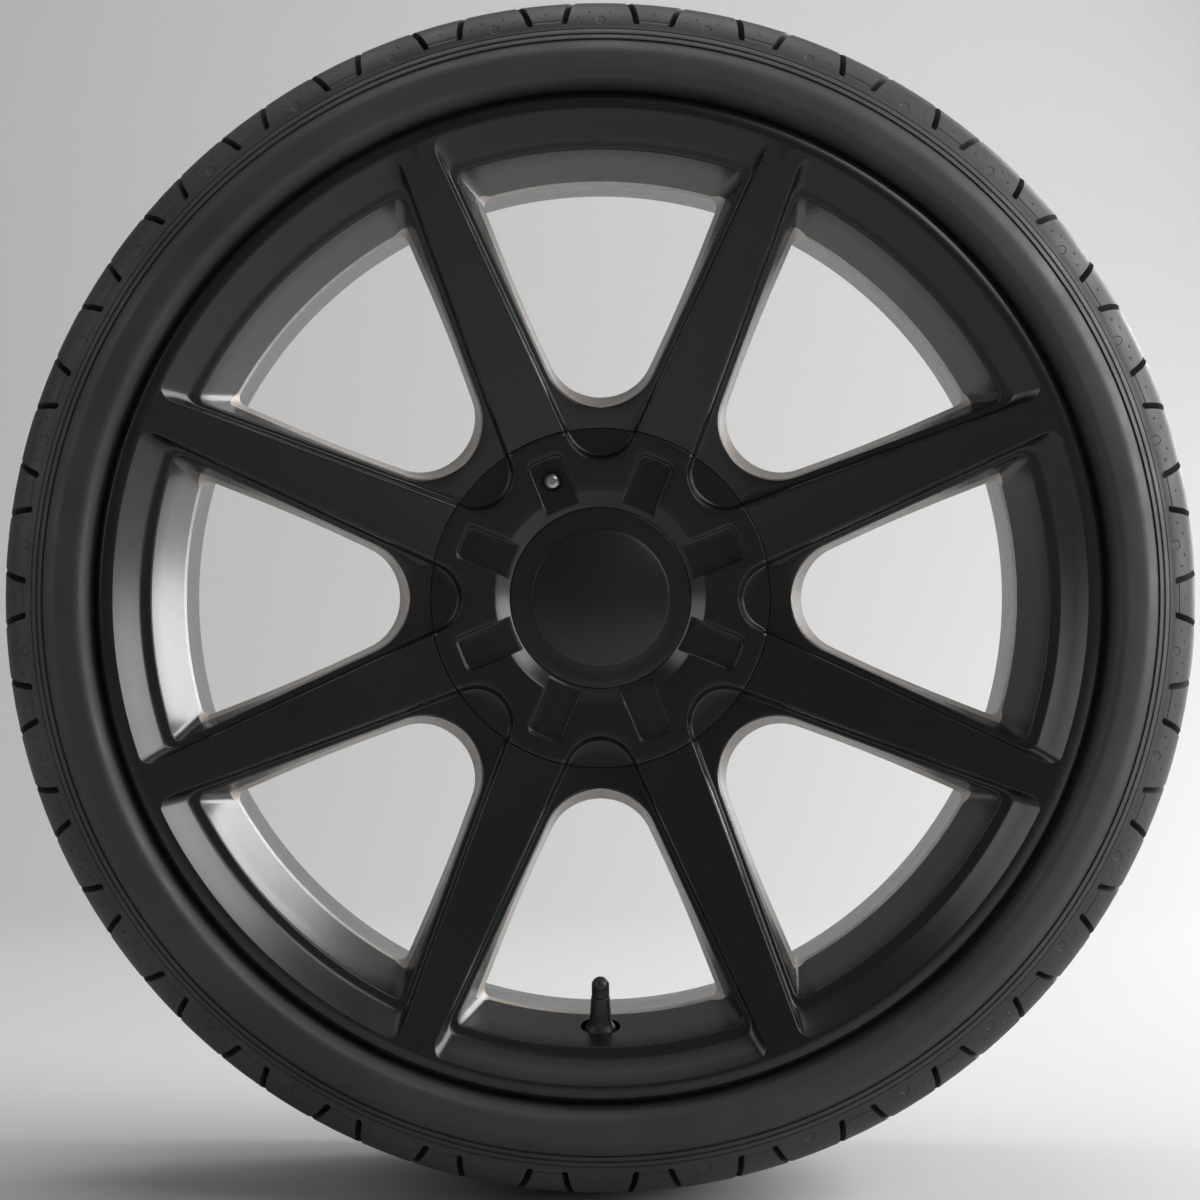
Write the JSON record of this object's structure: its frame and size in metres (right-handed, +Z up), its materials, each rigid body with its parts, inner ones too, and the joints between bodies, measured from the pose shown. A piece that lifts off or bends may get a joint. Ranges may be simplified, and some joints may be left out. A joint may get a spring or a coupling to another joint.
{
  "type": "car wheel with tyre",
  "caption": "Road car wheel: low-profile radial tyre on a satin black cast alloy wheel with stepped tapering spokes, bolt cover, domed centre cap and a working tyre valve.",
  "frame": {"origin": "centre of the wheel, on its axis and midway between the rim flanges", "axes": "+Z up, the wheel's axis along Y, its outer face towards -Y and the hub side towards +Y"},
  "size_m": [0.6724, 0.2782, 0.6722],
  "materials": {
    "tyre_rubber": "matte moulded rubber",
    "satin_black_alloy": "satin black paint on cast alloy, bare at the rear edges",
    "satin_black_cover": "satin black paint",
    "screw_steel": "plated",
    "cap_black": "semi-gloss",
    "spring_steel": "drawn wire",
    "valve_rubber": "moulded rubber",
    "valve_brass": "turned",
    "seal_rubber": "moulded rubber",
    "dust_cap_plastic": "moulded plastic"
  },
  "bodies": {
    "wheel_and_tyre": {"tyre": "tyre_rubber", "wheel": "satin_black_alloy", "bolt_cover": "satin_black_cover", "cover_screw": "screw_steel", "centre_cap": "cap_black", "cap_spring_ring": "spring_steel", "valve_body": "valve_rubber", "valve_stem": "valve_brass", "valve_core": "valve_brass", "core_gasket": "seal_rubber", "valve_spring": "spring_steel"},
    "valve_pin": {"valve_pin": "valve_brass"},
    "cap_seal": {"cap_seal": "seal_rubber"},
    "valve_cap": {"valve_cap": "dust_cap_plastic"}
  },
  "joints": [
    {"name": "pin_press", "type": "slide", "parent": "wheel_and_tyre", "child": "valve_pin", "axis": [0, 0.342, -0.9397], "range_m": [0, 0.0012], "stiffness_N_per_m": 3000, "springref_m": -0.0007, "deforming": ["valve_spring"]},
    {"name": "seal_lift", "type": "slide", "parent": "wheel_and_tyre", "child": "cap_seal", "axis": [0, -0.342, 0.9397], "range_m": [0, 0.00635]},
    {"name": "cap_turn", "type": "hinge", "parent": "cap_seal", "child": "valve_cap", "pos_m": [0, -0.10226, -0.21281], "axis": [0, -0.342, 0.9397], "range_deg": [0, 2890]}
  ],
  "couplings": [
    {"joint": "cap_turn", "follows": "seal_lift", "rad_per_m": 7915.8}
  ]
}
